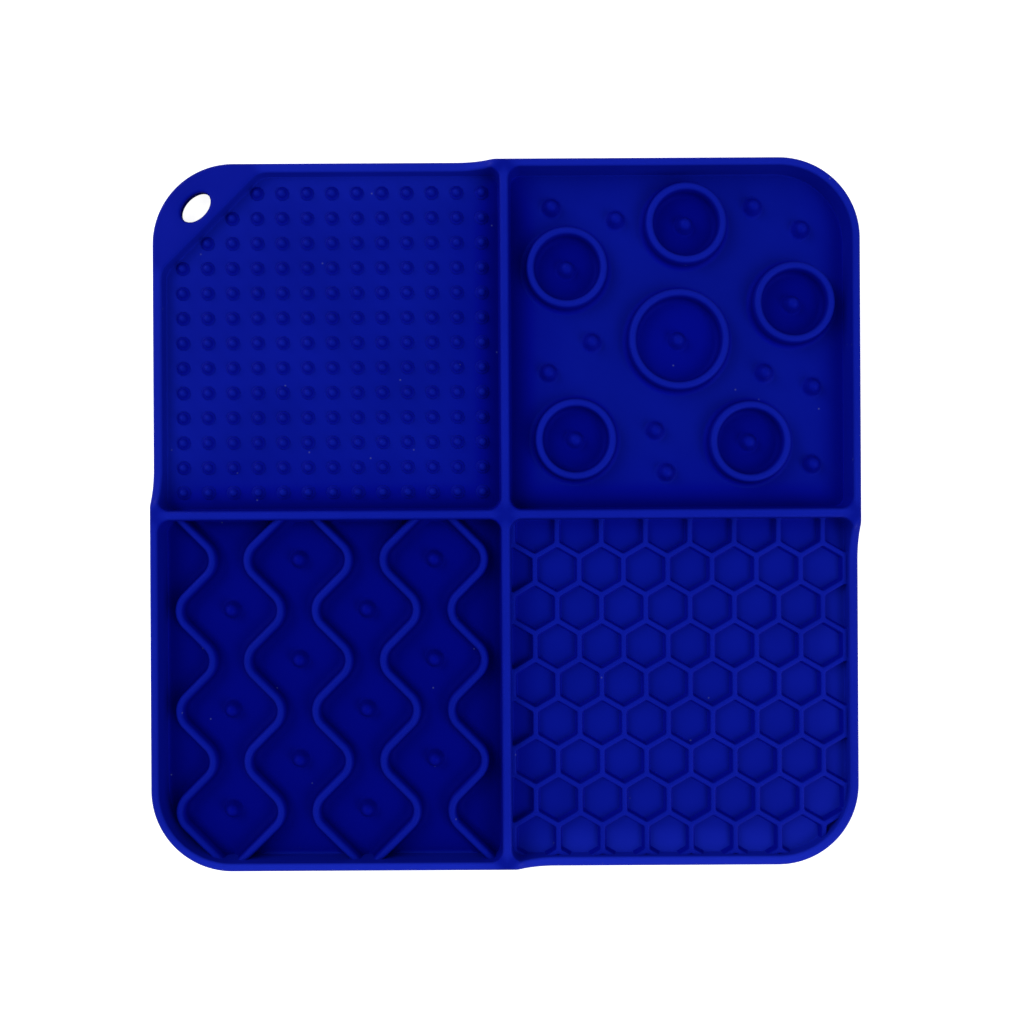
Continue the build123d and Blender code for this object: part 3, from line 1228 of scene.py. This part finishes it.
@dataclass
class WaveBay:
    """Five wave ridges, neighbours mirrored, with nubs in the wide places between them."""

    sizes: MatSizes
    ridges: int = 5
    # The ridges carry a faint painted highlight on top and the floor's painted shade at their feet, and the
    # nubs carry painted shade all over.
    ridge: Ridge = Ridge(
        draft=math.radians(8.0),
        top_round=1.0,
        foot_round=2.0,
        crest_painted_shading=0.09,
        foot_shade=0.8,
        floor_shade=WAVE_FLOOR_SHADE,
    )
    nub: Nub = Nub(crest_painted_shading=-0.42, side_shade=WAVE_FLOOR_SHADE, floor_shade=WAVE_FLOOR_SHADE)
    nub_gap: float = 4.25
    swing: float = 14.25
    half_period: float = 14.25
    bend_radius: float = 5.8
    lead_in: float = 11.4
    bend_steps: int = 14
    wall_bite: float = 0.6
    overrun: float = 4.5
    samples: int = 2000

    def build(self) -> list[bpy.types.Object]:
        """Builds the ridges one by one, and the nubs as one piece.

        Returns:
            The pieces.
        """
        trims = wall_trims(self.sizes, Bay.WAVE, self.wall_bite)
        pieces = []
        for index in range(self.ridges):
            node = f"wave_ridge_{index + 1}"
            pieces.append(put_on_floor(node, self._ridge(index, self.sizes.height_of(node)), trims))
        nub = self.nub.surface(self.sizes.floor_top, self.sizes.height_of("wave_nubs"))
        pieces.append(put_on_floor("wave_nubs", nub.repeated(self._nub_places())))
        return pieces

    def _bend_distances(self) -> np.ndarray:
        """Gives the distances of the bends from the middle divider's side, one past each end."""
        count = math.ceil((self.sizes.span - self.lead_in) / self.half_period) + 1
        return self.lead_in + (np.arange(count + 1) - 1) * self.half_period

    def _middle_line(self, index: int) -> tuple[np.ndarray, np.ndarray]:
        """Gives a ridge's middle line and its sideways directions.

        Straight runs between the bends are joined by arcs that touch both of them. The first and the last
        run go straight on past their walls.

        Args:
            index: The ridge's number, from the left, from zero.

        Returns:
            Arrays (n, 2) of points and of directions to the right of the way along.
        """
        sizes = self.sizes
        distance = self._bend_distances()
        middle = -sizes.far + (index + 0.5) * sizes.span / self.ridges
        side = np.where((np.arange(len(distance)) + index) % 2 == 0, -1, 1)
        bends = np.stack([middle + side * self.swing / 2, -sizes.near - distance], axis=1)
        run = np.diff(bends, axis=0)
        unit = run / np.linalg.norm(run, axis=1, keepdims=True)
        right = np.stack([unit[:, 1], -unit[:, 0]], axis=1)
        heading = np.arctan2(run[:, 1], run[:, 0])
        turn = np.diff(heading)
        tangent = self.bend_radius * np.tan(np.abs(turn) / 2)
        swerve = self.bend_radius * np.sign(turn)[:, None]
        centre = bends[1:-1] - tangent[:, None] * unit[:-1] - swerve * right[:-1]
        angle = heading[:-1, None] + np.linspace(0, 1, self.bend_steps + 1) * turn[:, None]
        arc_right = np.stack([np.sin(angle), -np.cos(angle)], axis=2)
        arcs = centre[:, None] + swerve[:, None] * arc_right
        past = self.overrun / DIAGONAL * unit
        line = np.concatenate([bends[:1] - past[:1], arcs.reshape(-1, 2), bends[-1:] + past[-1:]])
        sideways = np.concatenate([right[:1], arc_right.reshape(-1, 2), right[-1:]])
        return line, sideways

    def _inside(self, points: np.ndarray) -> np.ndarray:
        """Gives how far points of this bay lie inside its mouth, less than zero beyond it.

        Args:
            points: Array (n, 2) of points in plan.

        Returns:
            Array (n,) of distances to the nearest side or to the round of the outer corner.
        """
        sizes = self.sizes
        own = -points
        straight = np.minimum(own.min(axis=1) - sizes.near, sizes.far - own.max(axis=1))
        over = np.maximum(own - sizes.corner_centre, 0)
        corner = sizes.corner_radius - sizes.rim_width - np.linalg.norm(over, axis=1)
        return np.where(np.all(over > 0, axis=1), np.minimum(straight, corner), straight)

    def _ridge(self, index: int, height: float) -> Surface:
        """Carries the ridge's section along its middle line, past both walls, with closed ends.

        Args:
            index: The ridge's number, from the left, from zero.
            height: How high it stands over the floor.

        Returns:
            The ridge in its place.
        """
        line, sideways = self._middle_line(index)
        step = np.append(0, np.cumsum(np.linalg.norm(np.diff(line, axis=0), axis=1)))
        fine = np.linspace(0, step[-1], self.samples)
        start, end = fine[self._inside(along_line(fine, step, line)) > -self.overrun][[0, -1]]
        stations = np.concatenate([[start], step[(step > start) & (step < end)], [end]])
        points, right = (along_line(stations, step, kind) for kind in (line, sideways))
        right /= np.linalg.norm(right, axis=1, keepdims=True)
        away, level = self.ridge.section(self.sizes.floor_top, height)
        grid = raised(points[:, None] + away[:, None] * right[:, None], level)
        ends = grid[[0, -1]]
        caps = np.broadcast_to(ends.mean(axis=1, keepdims=True), ends.shape)
        closed = np.concatenate([caps[:1], grid, caps[1:]])
        return Surface.from_grid(closed, self.ridge.lift(), close_columns=True)

    def _nub_places(self) -> np.ndarray:
        """Gives a place in each wide place between two waves that has room beside the walls.

        Returns:
            Array (n, 2) of places in plan.
        """
        sizes = self.sizes
        distances = self._bend_distances()
        gap, step = np.meshgrid(np.arange(1, self.ridges), np.arange(len(distances)))
        distance = distances[step]
        roomy = (distance > self.nub_gap) & (distance < sizes.span - self.nub_gap)
        keep = ((step + gap) % 2 == 1) & roomy
        across = -sizes.far + gap * sizes.span / self.ridges
        return np.stack([across[keep], -sizes.near - distance[keep]], axis=1)


@dataclass
class HoneycombBay:
    """The low hexagon walls of the front right bay."""

    sizes: MatSizes
    pitch: float = 12.63
    wall: float = 1.5
    side_lead_in: float = 13.3
    back_lead_in: float = 14.6
    reach_share: float = 0.62
    spare_cells: int = 2
    corner_round: float = 0.8
    top_round: float = 0.40
    foot_round: float = 0.35
    draft: float = math.radians(6.0)
    sink: float = 0.3
    straight_steps: int = 2
    corner_steps: int = 4
    arc_steps: int = 3
    wall_bite: float = 0.4
    # Painted highlight on the wall tops and painted shade down their sides.
    crest_painted_shading: float = 0.13
    side_shade: float = 0.25

    def build(self) -> bpy.types.Object:
        """Builds the lattice and trims it inside the walls of its bay."""
        trims = wall_trims(self.sizes, Bay.HONEYCOMB, self.wall_bite)
        return put_on_floor("honeycomb_grid", self._cell().repeated(self._places()), trims)

    def _places(self) -> np.ndarray:
        """Gives the middles of the cells that touch the bay: rows shifted by half a cell in turn.

        Returns:
            Array (n, 2) of places in plan.
        """
        sizes = self.sizes
        row_pitch = self.pitch * math.sqrt(3) / 2
        steps = np.arange(-self.spare_cells, math.ceil(sizes.span / row_pitch) + self.spare_cells)
        row, column = np.meshgrid(steps, steps)
        across = sizes.near + self.side_lead_in + (column - row % 2 / 2) * self.pitch
        along = -sizes.near - self.back_lead_in - row * row_pitch
        reach = self.pitch * self.reach_share
        keep = (across > sizes.near - reach) & (across < sizes.far + reach)
        keep &= (along < reach - sizes.near) & (along > -sizes.far - reach)
        return np.stack([across[keep], along[keep]], axis=1)

    def _cell(self) -> Surface:
        """Carries the wall's half section round one cell.

        The outer border is the sharp hexagon that cells share, the mouth a hexagon with round corners.
        The section runs from the shared border over a round edge, down the drafted side and a flared
        foot, and back to the shared border below the floor.

        Returns:
            The cell's half walls about the origin.
        """
        floor = self.sizes.floor_top
        height = self.sizes.height_of("honeycomb_grid")
        border, mouth, outward = self._hexagon()
        sine, cosine = quarter_arc(self.arc_steps)
        foot = (height - self.foot_round) * math.tan(self.draft)
        inward = np.concatenate([self.top_round * (sine - 1), foot + self.foot_round * (1 - cosine)])
        inward = np.append(inward, inward[-1])
        rows = np.concatenate([border[None], mouth - inward[:, None, None] * outward, border[None]])
        edge_rise = height - self.top_round * (1 - cosine)
        foot_rise = self.foot_round * (1 - sine)
        rise = np.concatenate([[height], edge_rise, foot_rise, [-self.sink, -self.sink]])
        # Painted highlight over the round edge, painted shade down the side.
        edge = self.crest_painted_shading * cosine - self.side_shade * (1 - cosine)
        side = np.full(len(rise) - 1 - len(edge), -self.side_shade)
        lift = np.concatenate([[self.crest_painted_shading], edge, side])[:, None]
        return Surface.from_grid(raised(rows, floor + rise[:, None]), lift, close_columns=True)

    def _hexagon(self) -> tuple[np.ndarray, ...]:
        """Gives matching points round a cell's shared border, its mouth, and the outward directions.

        A sixth of each loop is a straight side and then a corner, where the mouth follows an arc and the
        border two legs to their meeting point. Turns about the cell's middle repeat it.

        Returns:
            Arrays (n, 2) of border, mouth and outward directions.
        """
        sixth = math.pi / 3
        half, reach = self.pitch / 2, (self.pitch - self.wall) / 2
        inner = reach - self.corner_round
        flat = inner * math.tan(sixth / 2)
        axes = directions(np.arange(6) * sixth)
        turns = np.stack([axes, axes[:, ::-1] * [-1, 1]], axis=2)
        side = np.linspace(-flat, flat, self.straight_steps + 1)[:-1, None] * [0, 1]
        share = np.arange(self.corner_steps) / self.corner_steps
        legs = np.array([(half, flat), (half, half * math.tan(sixth / 2)), turns[1] @ (half, -flat)])
        round_out = directions(share * sixth)
        round_mouth = np.array([inner, flat]) + self.corner_round * round_out
        loops = [
            np.concatenate([side + [half, 0], along_line(share, (0, 0.5, 1), legs)]),
            np.concatenate([side + [reach, 0], round_mouth]),
            np.concatenate([0 * side + [1, 0], round_out]),
        ]
        return tuple((loop @ turns.transpose(0, 2, 1)).reshape(-1, 2) for loop in loops)


@dataclass(frozen=True)
class Lamp:
    """A square area lamp that is aimed at the middle of the mat."""

    name: str
    place: tuple[float, float, float]
    size: float
    power: float

    def add(self) -> None:
        """Puts the lamp into the scene."""
        data = bpy.data.lights.new(self.name, "AREA")
        data.size = self.size
        data.energy = self.power
        lamp = bpy.data.objects.new(self.name, data)
        lamp.location = self.place
        lamp.rotation_euler = (-lamp.location).to_track_quat("-Z", "Y").to_euler()
        bpy.context.scene.collection.objects.link(lamp)


@dataclass
class Studio:
    """A pale floor, soft light from lamps round the mat and above it, and the camera over the mat."""

    floor_side: float = 30.0
    floor_drop: float = 0.0001
    floor_colour: Colour = (0.9, 0.9, 0.9)
    floor_roughness: float = 0.9
    floor_glow: float = 0.88
    white: Colour = (1.0, 1.0, 1.0)
    world_strength: float = 0.27
    camera_place: tuple[float, float, float] = (0.00180, 0.00062, 0.320)
    camera_roll: float = math.radians(-0.30)
    camera_start: float = 0.01
    lens: float = 38.96
    sensor: float = 36.0
    lamps: tuple[Lamp, ...] = (
        Lamp("back_left_lamp", (-0.62, 0.50, 0.50), 0.6, 2.05),
        Lamp("front_left_lamp", (-0.62, -0.50, 0.50), 0.6, 0.40),
        Lamp("front_right_lamp", (0.62, -0.50, 0.50), 0.6, 2.05),
        Lamp("left_strip", (-0.90, 0.0, 0.28), 0.5, 0.50),
        Lamp("left_key", (-0.52, 0.22, 0.74), 0.40, 1.20),
        Lamp("right_key", (0.52, -0.22, 0.74), 0.40, 1.50),
    )

    def build(self) -> None:
        """Sets up the floor, the light and the camera."""
        self._floor()
        self._world()
        for lamp in self.lamps:
            lamp.add()
        self._camera()
        bpy.context.scene.view_settings.view_transform = "Standard"

    def _floor(self) -> None:
        """Lays the floor as a flat grid of four points, a hair under the mat."""
        corner = np.array([-self.floor_side / 2, self.floor_side / 2])
        plan = np.stack(np.meshgrid(corner, corner), axis=2)
        surface = Surface.from_grid(raised(plan, -self.floor_drop))
        mesh = bpy.data.meshes.new("studio_floor")
        mesh.from_pydata(surface.vertices.tolist(), [], surface.faces.tolist())
        mesh.materials.append(self._floor_material())
        floor = bpy.data.objects.new("studio_floor", mesh)
        bpy.context.scene.collection.objects.link(floor)

    def _floor_material(self) -> bpy.types.Material:
        """Makes a matt white that glows for the camera, also where it is mirrored or seen through a piece.

        Returns:
            The material, which reads as plain white and lights the mat only as a pale floor does.
        """
        material = bpy.data.materials.new("studio_floor")
        material.use_nodes = True
        wiring = Wiring(material.node_tree)
        path = wiring.add("ShaderNodeLightPath").outputs
        seen = path["Is Camera Ray"]
        for ray in ("Is Glossy Ray", "Is Transmission Ray"):
            either = wiring.add("ShaderNodeMath", {0: seen, 1: path[ray]}, operation="MAXIMUM")
            seen = either.outputs["Value"]
        glow = wiring.add("ShaderNodeMath", {0: seen, 1: self.floor_glow}, operation="MULTIPLY")
        looks = {
            "Base Color": (*self.floor_colour, 1.0),
            "Roughness": self.floor_roughness,
            "Emission Color": (*self.white, 1.0),
            "Emission Strength": glow.outputs["Value"],
        }
        wiring.feed(material.node_tree.nodes["Principled BSDF"], looks)
        return material

    def _world(self) -> None:
        """Gives the room a dim even light."""
        world = bpy.data.worlds.new("studio_room")
        world.use_nodes = True
        light = {"Color": (*self.white, 1.0), "Strength": self.world_strength}
        Wiring(world.node_tree).feed(world.node_tree.nodes["Background"], light)
        bpy.context.scene.world = world

    def _camera(self) -> None:
        """Hangs the camera over the mat, looking straight down."""
        data = bpy.data.cameras.new("camera")
        data.lens = self.lens
        data.sensor_width = self.sensor
        data.clip_start = self.camera_start
        camera = bpy.data.objects.new("camera", data)
        camera.location = self.camera_place
        camera.rotation_euler = (0.0, 0.0, self.camera_roll)
        bpy.context.scene.collection.objects.link(camera)
        bpy.context.scene.camera = camera


def main() -> None:
    """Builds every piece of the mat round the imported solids, and the studio."""
    logging.basicConfig(level=logging.INFO, format="%(name)s: %(message)s")
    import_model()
    sizes = MatSizes.from_frame()
    MatBody(sizes).build()
    NubBay(sizes).build()
    RingBay(sizes).build()
    WaveBay(sizes).build()
    HoneycombBay(sizes).build()
    Studio().build()


if __name__ == "__main__":
    main()
